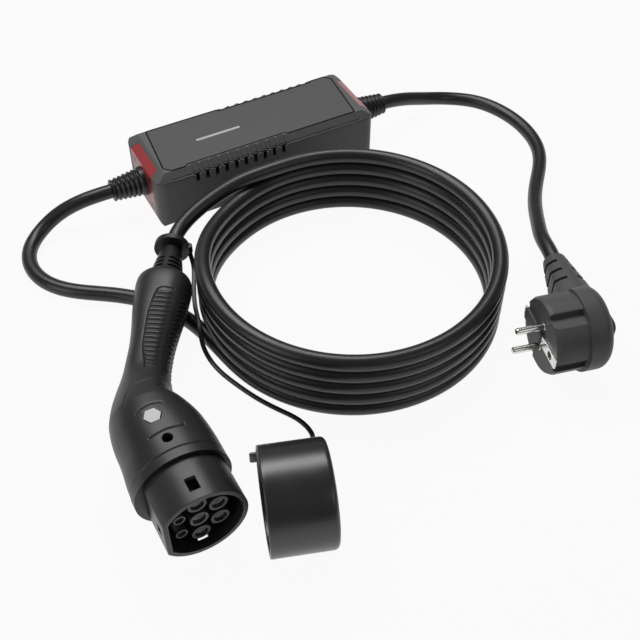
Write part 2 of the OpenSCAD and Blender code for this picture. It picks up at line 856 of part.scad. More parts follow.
// Body of the plug, turned about the axis of the drum, with a well rounded back and a flat foot. Each
// half of the drum has a step along it, and a channel at its side.
module plug_body() {
  step_y = 5;
  step_z = 22;
  channel = [drum_l - 1, 4, 8];
  channel_z = -8;
  rim = 2.5;
  back = plug_depth - plate_back_t;
  color(rubber_black)
  at_plug()
    difference() {
      union() {
        along_x(-drum_l, 0, 0) cylinder(h = drum_l - rim, r = drum_r);
        along_x(-rim, 0, 0) cylinder(h = rim, r1 = drum_r, r2 = drum_r - rim / 2);
        along_x(-back, 0, 0) rotate_extrude() back_profile(back - drum_l);
      }
      for (half = [0, 180])
        rotate([half, 0, 0]) {
          translate([-drum_l, step_y, step_z]) cube([drum_l + over, drum_r, drum_r]);
          translate([-channel.x, drum_r - channel.y, channel_z])
            cube([channel.x + over, channel.y + over, channel.z]);
        }
      for (z = [-1, 1])
        along_x(-pin_root, 0, z * pin_gap / 2) cylinder(h = pin_root + over, r = pin_root_r + fit);
      translate([boot_root_x + plug_boot_w + 2 * fit - plug_depth, -2 * drum_r, -2 * drum_r])
        cube([plug_depth, 2 * drum_r - boot_root, 4 * drum_r]);
      translate([-2 * plug_depth, -2 * drum_r, -2 * drum_r])
        cube([4 * plug_depth, 4 * drum_r, drum_r]);
    }
}

module back_profile(length) {
  translate([0, plug_round]) square([plug_r, length - plug_round]);
  square([plug_r - plug_round, length]);
  translate([plug_r - plug_round, plug_round])
    intersection() {
      circle(plug_round);
      translate([0, -plug_round]) square(plug_round);
    }
}

// Each pin stands on a thicker root that is held in the body
pin_root = 12;
pin_root_r = pin_d / 2 + 0.6;
module plug_pins() {
  tip = 1.2;
  color(pin_silver)
  at_plug()
    for (z = [-1, 1])
      along_x(-pin_root, 0, z * pin_gap / 2) {
        cylinder(h = pin_root, r = pin_root_r);
        cylinder(h = pin_root + pin_l - tip, r = pin_d / 2);
        translate([0, 0, pin_root + pin_l - tip])
          cylinder(h = tip, r1 = pin_d / 2, r2 = pin_d / 2 - tip / 2);
      }
}

// Earth strip across the face between the pins, with a hole for an earth pin
module earth_contacts() {
  strip = [1.2, 50.4, 8];
  hole_y = 17;
  hole_r = 3;
  color(pin_silver)
  at_plug()
    difference() {
      translate([0, -strip.y / 2, -strip.z / 2]) cube(strip);
      along_x(-over, hole_y, 0) cylinder(h = strip.x + 2 * over, r = hole_r);
    }
}

plate_back_t = 2.4;
plate_back_w = 33;
plate_back_r = 5;
module plug_back_plate() {
  color(handle_black)
  at_plug()
    translate([-plug_depth, 0, 0])
      rotate([90, 0, 90])
        linear_extrude(plate_back_t) plan(plate_back_w, plate_back_w, plate_back_r);
}

// Charging cable
module output_lead() {
  start = [-box_l / 2 - boot_l, 0, boot_z];
  tip = coil_point(0, coil_start);
  before = tip - coil_run * coil_along(coil_start);
  color(rubber_black)
  swept(
    concat([start, start - [lead_run / 2, 0, 0]], output_route, [before, tip]), round_section(cable_d, 10)
  );
}

module cable_coil() {
  top = coil_turns - 1;
  color(rubber_black)
  translate([coil_centre.x, coil_centre.y, 0])
    for (turn = [0:top]) {
      first = turn == 0 || turn == top ? coil_start : 0;
      sweep = turn == 0 ? 360 - coil_entry : turn == top ? 360 + coil_end - coil_start : 360;
      rotate(first) rotate_extrude(angle = sweep) translate([coil_r, coil_z(turn)]) circle(cable_d / 2);
    }
}

module connector_lead() {
  start = coil_point(coil_turns - 1, coil_end);
  after = start + coil_run * coil_along(coil_end);
  tip = connector_point(behind_handle(handle_boot_l));
  before = connector_point(behind_handle(handle_boot_l + lead_run));
  color(rubber_black)
  swept(concat([start, after], connector_route, [before, tip]), round_section(cable_d, 10));
}

// Vehicle connector
module half_handle(shares, rises, half) {
  n = side_count + 1;
  rows = len(shares);
  points = [for (i = [0:rows - 1]) each handle_row(shares[i], rises[i], half)];
  skin = [
    for (i = [0:rows - 2], k = [0:n - 1])
      let (a = i * n + k, b = i * n + (k + 1) % n)
      half > 0 ? [a, b, b + n, a + n] : [a + n, b + n, b, a]
  ];
  front = [for (k = [0:n - 1]) half > 0 ? n - 1 - k : k];
  rear = [for (k = [0:n - 1]) (rows - 1) * n + (half > 0 ? k : n - 1 - k)];
  polyhedron(points, concat(skin, [front, rear]));
}

module handle_upper_shell() {
  before = [for (i = [0:plain_rows - 1]) rib_from * i / plain_rows];
  after = [for (i = [0:9]) rib_to + (1 - rib_to) * pow(i / 9, 0.8)];
  ribs = rib_rows();
  rises = concat(
    [for (s = before) 0], [for (i = [0:len(ribs) - 1]) rib_rise(i)], [for (s = after) 0]
  );
  color(handle_black)
  at_connector()
    difference() {
      half_handle(concat(before, ribs, after), rises, 1);
      translate([screw_at.x, screw_at.y, screw_seat])
        cylinder(h = collar_r, r = handle_screw_r + 4 * fit);
      translate([badge_at.x, badge_at.y, badge_seat]) cylinder(h = collar_r, r = badge_r + fit, $fn = 6);
    }
}

module handle_lower_shell() {
  shares = concat(
    [for (i = [0:plain_rows - 1]) rib_to * i / plain_rows],
    [for (i = [0:9]) rib_to + (1 - rib_to) * pow(i / 9, 0.8)]
  );
  color(handle_black) at_connector() half_handle(shares, [for (s = shares) 0], -1);
}

module handle_boot() {
  slot_t = 2;
  slot_pitch_boot = 4.4;
  color(rubber_black)
  at_connector()
    behind_grip(0)
      difference() {
        cylinder(h = handle_boot_l, r1 = handle_boot_r, r2 = handle_boot_tip_r);
        for (i = [0:2], side = [0, 180])
          rotate(side) translate([1.6, -handle_boot_r - over, 3.5 + i * slot_pitch_boot])
            cube([handle_boot_r + over, 2 * (handle_boot_r + over), slot_t]);
      }
}

// Places on the top of the handle's head
screw_back = 9;
screw_at = [-0.5, handle_y + screw_back];
handle_screw_r = 2.2;
screw_seat = collar_r - 8;
badge_back = 28;
badge_at = [-2, handle_y + badge_back];
badge_r = 5.4;
badge_seat = collar_r - 2;

module handle_screw() {
  color(pin_silver)
  at_connector()
    translate([screw_at.x, screw_at.y, screw_seat])
      difference() {
        cylinder(h = 2, r = handle_screw_r);
        translate([0, 0, 1]) cylinder(h = 2, r = handle_screw_r / 2, $fn = 6);
      }
}

module badge_disc() {
  color(light_white)
  at_connector() translate([badge_at.x, badge_at.y, badge_seat]) cylinder(h = 1.6, r = badge_r, $fn = 6);
}

module collar_ring() {
  color(handle_black)
  at_connector()
    back_from(nose_l)
      linear_extrude(collar_l)
        difference() {
          circle(collar_r);
          nose_outline(nose_r + fit, nose_flat + fit);
        }
}

module nose_shroud() {
  window = [6.4, 9, 4];
  side_window = [7, 5.4];
  color(handle_black)
  at_connector()
    difference() {
      back_from(0)
        linear_extrude(handle_y)
          difference() {
            nose_outline(nose_r, nose_flat);
            nose_outline(nose_r - nose_wall, nose_flat - nose_wall);
          }
      for (z = [nose_r - nose_wall - 1.5, -nose_r - 1.5])
        translate([-window.x / 2, 6, z]) cube([window.x, window.y, nose_wall + 3]);
      translate([-nose_flat - over, 6.5, -side_window.x / 2])
        cube([nose_wall + 2 * over, side_window.y, side_window.x]);
    }
}

module contact_carrier() {
  tower_l = handle_y - tower_recess;
  plate_at = handle_y - carrier_t;
  color(handle_black)
  at_connector()
    difference() {
      union() {
        back_from(plate_at)
          linear_extrude(carrier_t) nose_outline(nose_r - nose_wall - fit, nose_flat - nose_wall - fit);
        back_from(tower_recess) {
          power_places() cylinder(h = tower_l, r = tower_r);
          signal_places() cylinder(h = tower_l, r = small_tower_r);
        }
      }
      back_from(tower_recess - over) {
        power_places() cylinder(h = tower_l + 2 * over, r = contact_r + sleeve_wall + fit / 3);
        signal_places() cylinder(h = tower_l + 2 * over, r = small_contact_r + sleeve_wall + fit / 3);
      }
    }
}

module sleeve(r) {
  difference() {
    cylinder(h = handle_y - tower_recess - sleeve_recess, r = r + sleeve_wall);
    translate([0, 0, -over]) cylinder(h = handle_y, r = r);
  }
}

module power_contacts() {
  color(pin_silver) at_connector() back_from(tower_recess + sleeve_recess) power_places() sleeve(contact_r);
}

module signal_contacts() {
  color(pin_silver)
  at_connector() back_from(tower_recess + sleeve_recess) signal_places() sleeve(small_contact_r);
}

// Tether and dust cap
lobe_h = 3;
module ring_form() {
  lobe_r = 2.6;
  at_connector()
    behind_grip(handle_boot_l)
      difference() {
        union() {
          cylinder(h = ring_l, r = ring_r);
          translate([ring_r - 0.5, 0, ring_l / 2]) rotate([90, 0, 0])
            cylinder(h = 2 * lobe_h, r = lobe_r, center = true);
        }
        translate([0, 0, -over]) cylinder(h = ring_l + 2 * over, r = cable_d / 2 + fit);
      }
}

module tether_ring() {
  color(rubber_black)
  difference() {
    ring_form();
    strap_form();
  }
}

module tether_strap() { color(rubber_black) strap_form(); }

module strap_form() {
  lobe = behind_handle(handle_boot_l + ring_l / 2) + (ring_r - 0.5) * [cos(bend_deg), -sin(bend_deg), 0];
  start = connector_point(lobe - [0, 0, lobe_h]);
  tip = cap_point([lug_x + lug_l / 2, cap_r + lug_reach, lug_z]);
  before = cap_point([lug_x + lug_l / 2, cap_r + lug_reach + 6, lug_z]);
  swept(concat([start], strap_route, [before, tip]), flat_section(strap_w, strap_t));
}

// The cap is one moulding with the lug that takes the strap and a pull tab at its rim
lug_x = 25;
lug_l = 8;
lug_h = 7;
lug_z = -12;
lug_reach = 2.5;
module dust_cap() {
  edge = 2;
  tab_l = 4;
  tab_h = 9;
  inner_r = cap_r - cap_wall;
  color(rubber_black)
  at_cap()
    union() {
      rotate([0, 90, 0])
        rotate_extrude()
          polygon([
            [0, cap_l - cap_wall], [inner_r, cap_l - cap_wall], [inner_r, 0], [cap_r, 0],
            [cap_r, cap_l - edge], [cap_r - 0.3 * edge, cap_l - 0.3 * edge],
            [cap_r - edge, cap_l], [0, cap_l]
          ]);
      translate([lug_x, inner_r - 1, lug_z - lug_h / 2])
        cube([lug_l, cap_r + lug_reach - inner_r + 1, lug_h]);
      translate([-tab_l, inner_r, -tab_h / 2]) cube([tab_l + over, cap_wall - 0.3, tab_h]);
    }
}

base_shell();
top_cover();
cover_gasket();
touch_panel();
light_bar();
output_end_plate();
input_end_plate();
output_boot();
input_boot();
end_plate_screws();
cover_screws();
main_board();
relays();
leakage_sensor();
power_supply();
terminal_blocks();
cord_clamps();
display_board();
mains_lead();
plug_boot();
plug_body();
plug_pins();
earth_contacts();
plug_back_plate();
output_lead();
cable_coil();
connector_lead();
handle_boot();
handle_upper_shell();
handle_lower_shell();
handle_screw();
badge_disc();
collar_ring();
nose_shroud();
contact_carrier();
power_contacts();
signal_contacts();
tether_ring();
tether_strap();
dust_cap();
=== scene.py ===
"""Looks of a portable vehicle charger: control box, mains plug, coiled cable, connector and dust cap."""

import math

import bpy
import numpy as np
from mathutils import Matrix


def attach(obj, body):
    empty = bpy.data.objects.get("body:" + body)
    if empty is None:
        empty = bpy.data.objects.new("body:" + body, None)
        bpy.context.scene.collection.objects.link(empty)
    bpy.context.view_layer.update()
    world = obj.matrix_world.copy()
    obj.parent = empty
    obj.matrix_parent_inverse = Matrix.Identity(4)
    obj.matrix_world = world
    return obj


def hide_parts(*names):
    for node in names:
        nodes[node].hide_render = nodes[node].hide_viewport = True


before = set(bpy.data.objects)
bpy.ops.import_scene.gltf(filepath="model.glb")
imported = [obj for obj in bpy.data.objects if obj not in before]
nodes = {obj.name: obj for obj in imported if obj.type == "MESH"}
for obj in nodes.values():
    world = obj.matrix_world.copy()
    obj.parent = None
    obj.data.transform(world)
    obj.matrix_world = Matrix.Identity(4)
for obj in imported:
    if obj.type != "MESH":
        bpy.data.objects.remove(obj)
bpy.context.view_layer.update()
MM = 0.001
UP = np.array([0.0, 0.0, 1.0])

# Control box, in mm, as in the part's source
BOX_END = 93.0
PANEL_L = 165.0
PANEL_W = 52.4
PANEL_GAP = 0.6
PANEL_STEP = 1.7
PANEL_CORNER = 5.0
PANEL_GRIP = (-64.8, 16.8)
BOOT_Z = 25.0
BOOT_L = 26.0
BOOT_R_FROM = 11.5
BOOT_R_TO = 8.5

# Cords and the coil's turns, in mm and degrees
CABLE_D = 11.0
MAINS_D = 11.0
STRAP_W = 3.2
STRAP_T = 2.0
COIL_R = 102.0
COIL_PITCH = 11.05
COIL_CENTRE = (-2.5, -164.0)
COIL_FROM = 190.0
COIL_TO = 1890.0
COIL_STEP = 7.5
COIL_CLIMB = (115.0, 175.0)

# Where the connector, the cap and the plug lie, in mm, and how far each is turned, in degrees
NOSE_PLACE = np.array([-174.5, -303.0, 30.5])
NOSE_TURN = 0.5
CAP_PLACE = np.array([-139.5, -306.5, 32.5])
CAP_TURN = -18.5
PLUG_PLACE = np.array([80.0, -275.0, 26.5])
PLUG_TURN = 166.0

# The handle's bent middle line, in mm and radians
HANDLE_Y = 34.5
BEND = math.radians(30.7)
BEND_REACH = 30.0
BEND_Y = 95.0
GRIP_L = 109.5
BEND_R = BEND_REACH / math.tan(BEND / 2)
STRAIGHT = BEND_Y - BEND_REACH - HANDLE_Y
HANDLE_L = STRAIGHT + BEND_R * BEND + GRIP_L - BEND_REACH


# Curves
def ease(a, b, x):
    """Smooth step from 0 at a to 1 at b: three t squared less two t cubed."""
    t = np.clip((x - a) / (b - a), 0, 1)
    return t * t * (3 - 2 * t)


def bell(x, width):
    """Bell curve: e to the power of minus half the square of x over the width."""
    return np.exp(-((x / width) ** 2) / 2)


def notch(x, width):
    """Narrower bell, for a groove: e to the power of minus the square of x over the width."""
    return np.exp(-((x / width) ** 2))


def squared(w, power):
    """A sine or cosine of a squared circle: its size to a power, with its sign kept."""
    return np.sign(w) * np.abs(w) ** power


def around(count):
    """Even angles once round, in radians."""
    return np.linspace(0, 2 * np.pi, count, endpoint=False)


# Places
def turned(points, degrees, place):
    """Points turned about the vertical by an angle, then moved to a place."""
    a = math.radians(degrees)
    p = np.asarray(points, float)
    x = p[..., 0] * math.cos(a) - p[..., 1] * math.sin(a)
    y = p[..., 0] * math.sin(a) + p[..., 1] * math.cos(a)
    return np.stack([x, y, p[..., 2]], -1) + place


def at_nose(points):
    """The connector's own points, turned and moved to where it lies."""
    return turned(points, NOSE_TURN, NOSE_PLACE)


def at_cap(points):
    """The cap's own points, turned and moved to where it lies."""
    return turned(points, CAP_TURN, CAP_PLACE)


def at_plug(points):
    """The plug's own points, turned and moved to where it lies."""
    return turned(points, PLUG_TURN, PLUG_PLACE)


# Lines: samples for each point of a route, fewest points, and reaches at which a bell is cut off
LINE_SAMPLES = 40
LINE_FEWEST = 8
RELAX_REACHES = 3


def steps(line):
    """Distance from each point of a line to the next."""
    return np.linalg.norm(np.diff(line, axis=0), axis=1)


def run_along(line):
    """Length of a line up to each of its points: the sum of the steps so far."""
    return np.concatenate([[0], np.cumsum(steps(line))])


def resampled(line, count, closed=False):
    """Points at even lengths along a line, straight between its own. A closed one leaves out the last."""
    run = run_along(line)
    want = np.linspace(0, run[-1], count, endpoint=not closed)
    return np.stack([np.interp(want, run, column) for column in line.T], -1)


def smooth_line(points, step):
    """Natural cubic spline through points by chord length, resampled at an even step."""
    p = np.asarray(points, float)
    d = steps(p)
    t = run_along(p)
    n = len(p)
    a = np.eye(n)
    b = np.zeros((n, 3))
    i = np.arange(1, n - 1)
    a[i, i - 1], a[i, i], a[i, i + 1] = d[:-1], 2 * (d[:-1] + d[1:]), d[1:]
    slope = np.diff(p, axis=0) / d[:, None]
    b[1:-1] = 6 * np.diff(slope, axis=0)
    m = np.linalg.solve(a, b)
    u = np.linspace(0, t[-1], LINE_SAMPLES * n)
    k = np.clip(np.searchsorted(t, u, side="right") - 1, 0, n - 2)
    gap, done, left = d[k][:, None], (u - t[k])[:, None], (t[k + 1] - u)[:, None]
    fine = (
        m[k] * left**3 / (6 * gap) + m[k + 1] * done**3 / (6 * gap)
        + (p[k] / gap - m[k] * gap / 6) * left + (p[k + 1] / gap - m[k + 1] * gap / 6) * done
    )
    return resampled(fine, max(LINE_FEWEST, int(run_along(fine)[-1] / step)))


def relaxed(line, reach):
    """Each point becomes the mean of its neighbours, with bell-shaped weights over a reach in mm.
    The line is turned about its ends to go on past them, so that they stay put."""
    step = steps(line).mean()
    n = int(RELAX_REACHES * reach / step)
    weights = bell(np.arange(-n, n + 1) * step, reach)
    weights /= weights.sum()
    wide = np.concatenate([2 * line[0] - line[n:0:-1], line, 2 * line[-1] - line[-2:-n - 2:-1]])
    return np.stack([np.convolve(column, weights, mode="valid") for column in wide.T], -1)


def carried(path, section):
    """A section carried along a path: point = path + across * side + out * top, with side square to up."""
    run = np.gradient(path, axis=0)
    run /= np.linalg.norm(run, axis=1)[:, None]
    side = np.cross(run, UP)
    side /= np.linalg.norm(side, axis=1)[:, None]
    top = np.cross(side, run)
    return path[:, None] + section[:, :1] * side[:, None] + section[:, 1:] * top[:, None]


def round_section(radius, sides):
    """Points of a circle: radius times cosine and sine."""
    a = around(sides)
    return radius * np.stack([np.cos(a), np.sin(a)], -1)


# Pieces. An edge that turns by more than this, in degrees, is shaded sharp
SHARP = 40


def piece(name, points, look, looped=False, sharp=SHARP, groove=None):
    """A skin over a grid of points in mm, rows by columns, that rides on the one body.
    Columns close on themselves. Rows do so where they are looped, and else a fan closes each end."""
    rows, cols = points.shape[:2]
    grid = np.arange(rows * cols).reshape(rows, cols)
    low = grid if looped else grid[:-1]
    high = np.roll(grid, -1, axis=0) if looped else grid[1:]
    quads = np.stack([low, np.roll(low, -1, axis=1), np.roll(high, -1, axis=1), high], -1).reshape(-1, 4)
    flat = points.reshape(-1, 3)
    fans = np.empty((0, 3), int)
    if not looped:
        flat = np.concatenate([flat, [points[0].mean(axis=0), points[-1].mean(axis=0)]])
        first = np.stack([np.roll(grid[0], -1), grid[0], np.full(cols, rows * cols)], -1)
        last = np.stack([grid[-1], np.roll(grid[-1], -1), np.full(cols, rows * cols + 1)], -1)
        fans = np.concatenate([first, last])
    corners = flat[quads]
    outward = corners.mean(axis=1) - flat.mean(axis=0)
    normal = np.cross(corners[:, 2] - corners[:, 0], corners[:, 3] - corners[:, 1])
    if (outward * normal).sum() < 0:
        quads, fans = quads[:, ::-1], fans[:, ::-1]
    mesh = bpy.data.meshes.new(name)
    mesh.from_pydata((flat * MM).tolist(), [], quads.tolist() + fans.tolist())
    mesh.polygons.foreach_set("use_smooth", np.ones(len(mesh.polygons), bool))
    mesh.set_sharp_from_angle(angle=math.radians(sharp))
    obj = bpy.data.objects.new(name, mesh)
    bpy.context.scene.collection.objects.link(obj)
    mesh.materials.append(look)
    # Painted shade: the groove attribute tells the material where to darken the colour
    if groove is not None:
        depths = np.concatenate([groove.ravel(), np.zeros(len(flat) - rows * cols)])
        marks = mesh.attributes.new("groove", "FLOAT", "POINT")
        marks.data.foreach_set("value", depths.astype(np.float32))
    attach(obj, "root")
    return obj


# Finishes
BROAD_SCALE = 30.0
TONE_RANGE = (0.3, 0.7)
GLOSS_SWING = 0.05
GRAIN_STRENGTH = 0.5
# Painted shade in grooves: the share of the colour left where the groove attribute is full
GROOVE_SHADE = 0.12
EDGE_SAMPLES = 6


def grain_group():
    """Moulded grain: fine noise for the surface and broad noise for its tone, on Object coordinates."""
    g = bpy.data.node_groups.new("moulded_grain", "ShaderNodeTree")
    g.interface.new_socket("Fine", in_out="INPUT", socket_type="NodeSocketFloat")
    g.interface.new_socket("Broad", in_out="INPUT", socket_type="NodeSocketFloat")
    g.interface.new_socket("Height", in_out="OUTPUT", socket_type="NodeSocketFloat")
    g.interface.new_socket("Tone", in_out="OUTPUT", socket_type="NodeSocketFloat")
    n = g.nodes
    inp, out = n.new("NodeGroupInput"), n.new("NodeGroupOutput")
    place = n.new("ShaderNodeTexCoord")
    for socket, name, detail in (("Fine", "Height", 2.0), ("Broad", "Tone", 4.0)):
        noise = n.new("ShaderNodeTexNoise")
        noise.inputs["Detail"].default_value = detail
        g.links.new(place.outputs["Object"], noise.inputs["Vector"])
        g.links.new(inp.outputs[socket], noise.inputs["Scale"])
        g.links.new(noise.outputs["Fac"], out.inputs[name])
    return g


GRAIN = grain_group()


def tinted(colour, factor):
    """A colour times a factor, no more than one, with full alpha."""
    return (*[min(1, c * factor) for c in colour], 1)


def grained(
    name, colour, rough, fine, depth, spread=0.12, edge=0.0, metal=0.0, coat=0.0, specular=0.5, grooved=False,
):
    """A surface with grain: tone moves the colour and the roughness, fine noise raises it, edges are eased.
    Where asked, the piece's own groove attribute paints shade into it: it darkens the colour and dulls it."""
    m = bpy.data.materials.new(name)
    m.use_nodes = True
    n, link = m.node_tree.nodes, m.node_tree.links.new
    bsdf = n["Principled BSDF"]
    grain = n.new("ShaderNodeGroup")
    grain.node_tree = GRAIN
    grain.inputs["Fine"].default_value = fine
    grain.inputs["Broad"].default_value = BROAD_SCALE
    mix = n.new("ShaderNodeMix")
    mix.data_type = "RGBA"
    mix.inputs["A"].default_value = tinted(colour, 1 - spread)
    mix.inputs["B"].default_value = tinted(colour, 1 + spread)
    link(grain.outputs["Tone"], mix.inputs["Factor"])
    gloss = n.new("ShaderNodeMapRange")
    gloss.inputs["From Min"].default_value = TONE_RANGE[0]
    gloss.inputs["From Max"].default_value = TONE_RANGE[1]
    gloss.inputs["To Min"].default_value = rough - GLOSS_SWING
    gloss.inputs["To Max"].default_value = rough + GLOSS_SWING
    link(grain.outputs["Tone"], gloss.inputs["Value"])
    shade, dull = mix.outputs["Result"], gloss.outputs["Result"]
    if grooved:
        # Painted shade: the groove attribute darkens the colour and raises the roughness
        painted_shade_mask = n.new("ShaderNodeAttribute")
        painted_shade_mask.attribute_name = "groove"
        deep = n.new("ShaderNodeMix")
        deep.data_type = "RGBA"
        deep.inputs["B"].default_value = tinted(colour, GROOVE_SHADE)
        link(painted_shade_mask.outputs["Fac"], deep.inputs["Factor"])
        link(shade, deep.inputs["A"])
        most = n.new("ShaderNodeMath")
        most.operation = "MAXIMUM"
        link(dull, most.inputs[0])
        link(painted_shade_mask.outputs["Fac"], most.inputs[1])
        shade, dull = deep.outputs["Result"], most.outputs[0]
    link(shade, bsdf.inputs["Base Color"])
    link(dull, bsdf.inputs["Roughness"])
    bump = n.new("ShaderNodeBump")
    bump.inputs["Strength"].default_value = GRAIN_STRENGTH
    bump.inputs["Distance"].default_value = depth * MM
    link(grain.outputs["Height"], bump.inputs["Height"])
    if edge:
        eased = n.new("ShaderNodeBevel")
        eased.samples = EDGE_SAMPLES
        eased.inputs["Radius"].default_value = edge * MM
        link(eased.outputs["Normal"], bump.inputs["Normal"])
    link(bump.outputs["Normal"], bsdf.inputs["Normal"])
    bsdf.inputs["Metallic"].default_value = metal
    bsdf.inputs["Specular IOR Level"].default_value = specular
    bsdf.inputs["Coat Weight"].default_value = coat
    return m


shell_finish = grained(
    "moulded_shell", (0.102, 0.105, 0.103), 0.52, fine=2600, depth=0.05, edge=0.7, specular=0.35
)
# Lighter copy of the cover's finish for the base shell: painted light, so that its walls show brighter than
# the lamps make them
lower_shell_painted_light = grained(
    "lower_shell", (0.142, 0.144, 0.143), 0.52, fine=2600, depth=0.05, edge=0.7, specular=0.35
)
# Near-black bead for the panel's gap: painted shade
painted_gap_shade_finish = grained("painted_gap_shade", (0.006, 0.006, 0.006), 0.7, fine=1800, depth=0.01, specular=0.15)
panel_finish = grained(
    "touch_surface", (0.086, 0.086, 0.086), 0.50, fine=3600, depth=0.015, spread=0.04, edge=0.5, specular=0.3
)
red_finish = grained(
    "red_plate", (0.34, 0.043, 0.048), 0.36, fine=1800, depth=0.02, spread=0.06, edge=0.5, coat=0.15
)
boot_finish = grained("soft_boot", (0.009, 0.009, 0.0095), 0.38, fine=1800, depth=0.03, edge=0.4)
cable_finish = grained("cable_sheath", (0.013, 0.013, 0.0135), 0.36, fine=1400, depth=0.025)
plug_finish = grained(
    "plug_moulding", (0.090, 0.090, 0.091), 0.50, fine=2400, depth=0.04, edge=0.9, specular=0.35
)
# Its groove attribute paints shade in the grooves, the seam, the collar line, between ribs and in the wells
handle_finish = grained(
    "handle_moulding", (0.019, 0.019, 0.0195), 0.40, fine=2400, depth=0.05, edge=0.4, grooved=True
)
nose_finish = grained("nose_moulding", (0.022, 0.022, 0.0225), 0.40, fine=2400, depth=0.04, edge=0.6)
inner_finish = grained("nose_inside", (0.05, 0.05, 0.05), 0.45, fine=2400, depth=0.03, edge=0.4)
cap_finish = grained("cap_rubber", (0.017, 0.017, 0.0175), 0.33, fine=1600, depth=0.03, specular=0.75)
nickel_finish = grained(
    "nickel", (0.70, 0.69, 0.67), 0.20, fine=900, depth=0.006, spread=0.06, edge=0.3, metal=1.0
)
# Near-white and barely metallic: painted reflection, so that the contacts show bright inside their holes
contact_painted_reflection = grained(
    "contact_silver_painted_reflection", (0.90, 0.90, 0.88), 0.3, fine=900, depth=0.006, spread=0.06, edge=0.2, metal=0.15
)
steel_finish = grained(
    "dark_screw", (0.05, 0.05, 0.052), 0.36, fine=900, depth=0.01, spread=0.1, edge=0.2, metal=0.6
)
badge_finish = grained("pale_badge", (0.56, 0.56, 0.56), 0.38, fine=1400, depth=0.01, spread=0.06, edge=0.3)
light_finish = grained(
    "light_diffuser", (0.50, 0.50, 0.50), 0.35, fine=900, depth=0.01, spread=0.04, edge=0.2
)
board_finish = grained("circuit_board", (0.02, 0.11, 0.05), 0.4, fine=700, depth=0.05)
relay_finish = grained("relay_case", (0.03, 0.05, 0.18), 0.3, fine=1500, depth=0.01, edge=0.4)
winding_finish = grained("winding_tape", (0.45, 0.33, 0.06), 0.4, fine=500, depth=0.08)
terminal_finish = grained("terminal_block", (0.08, 0.25, 0.12), 0.4, fine=1200, depth=0.02, edge=0.3)

NODE_FINISH = {
    "base_shell": lower_shell_painted_light,
    "top_cover": shell_finish,
    "cover_gasket": boot_finish,
    "touch_panel": panel_finish,
    "light_bar": light_finish,
    "output_end_plate": red_finish,
    "input_end_plate": red_finish,
    "output_boot": boot_finish,
    "input_boot": boot_finish,
    "end_plate_screws": steel_finish,
    "cover_screws": steel_finish,
    "main_board": board_finish,
    "relays": relay_finish,
    "leakage_sensor": winding_finish,
    "power_supply": winding_finish,
    "terminal_blocks": terminal_finish,
    "cord_clamps": shell_finish,
    "display_board": board_finish,
    "mains_lead": cable_finish,
    "plug_boot": plug_finish,
    "plug_body": plug_finish,
    "plug_pins": nickel_finish,
    "earth_contacts": nickel_finish,
    "plug_back_plate": plug_finish,
    "output_lead": cable_finish,
    "cable_coil": cable_finish,
    "connector_lead": cable_finish,
    "handle_boot": boot_finish,
    "handle_upper_shell": handle_finish,
    "handle_lower_shell": handle_finish,
    "handle_screw": steel_finish,
    "badge_disc": badge_finish,
    "collar_ring": handle_finish,
    "nose_shroud": nose_finish,
    "contact_carrier": inner_finish,
    "power_contacts": contact_painted_reflection,
    "signal_contacts": contact_painted_reflection,
    "tether_ring": boot_finish,
    "tether_strap": boot_finish,
    "dust_cap": cap_finish,
}
for node, look in NODE_FINISH.items():
    nodes[node].data.materials.clear()
    nodes[node].data.materials.append(look)

# Routes of the cords, in mm, as in the part's source
OUTPUT_ROUTE = [
    (-119, 0, 25), (-126, 0, 25), (-132, 1, 24.5), (-148, 4, 20.5), (-165, 6, 13), (-180, 1, 6.5),
    (-191, -11, 5.5), (-196, -31, 5.5), (-191, -51, 5.5), (-179, -66, 5.5), (-161, -79, 5.5),
    (-141, -94, 5.5), (-124, -114, 5.5), (-113, -136, 5.5), (-106.8, -160.05, 5.5),
]
CONNECTOR_ROUTE = [
    (-24.5, -62, 49.7), (-33, -61.4, 49), (-41, -60.8, 47.2), (-50, -60.8, 44.6), (-61, -61.6, 41.3),
    (-75, -64.2, 37.4), (-86.5, -68, 33.8),
]
MAINS_ROUTE = [
    (119, 0, 25), (126, 0, 25), (132, 0.4, 23.4), (145, 2.2, 19.6), (160, 4, 13.4), (177, 4.8, 7.8),
    (193.2, -1, 5.5), (207.6, -13, 5.5), (217.6, -31.4, 5.5), (222.4, -53, 5.5), (221.4, -75, 5.5),
    (215, -95, 5.5), (203, -112, 5.7), (188, -128, 7.2), (172.6, -145.8, 10.6), (158.6, -165.2, 15.6),
    (146.6, -184, 20.8), (138, -199.4, 24.6),
]
STRAP_ROUTE = [
    (-94.5, -99, 20.5), (-98.5, -108.8, 17.5), (-104.5, -122.4, 15), (-109, -136.6, 14), (-112, -149, 13.4),
    (-115.2, -160, 8.2), (-115, -170, 2.8), (-112.4, -184, 1.2), (-107.6, -198.6, 1.2), (-101, -214.4, 1.2),
    (-92, -230.6, 1.2), (-84.5, -244, 1.2), (-82.5, -256, 2.2), (-85, -264, 6), (-90, -269, 12.5),
    (-96, -272.5, 18.5),
]
# Ends of the cords, in the connector's, the plug's and the cap's own mm
HANDLE_BOOT_L = 30.0
BOOT_STRAIGHT = 14.0
PLUG_BOOT_TIP = np.array([-36.4, -64.0, 0.0])
PLUG_BOOT_LEAN = math.atan2(4.8, 47.0)
TETHER_BACK = 32.0
TETHER_OUT = 12.0
TETHER_DOWN = 3.0
STRAP_END = [(29, 41, -12), (29, 35, -12)]
# Fineness of their skins
TUBE_SIDES = 28
TUBE_STEP = 3.0
TUBE_RELAX = 8.0
STRAP_SIDES = 20
STRAP_STEP = 1.5
STRAP_SOFT = 0.5


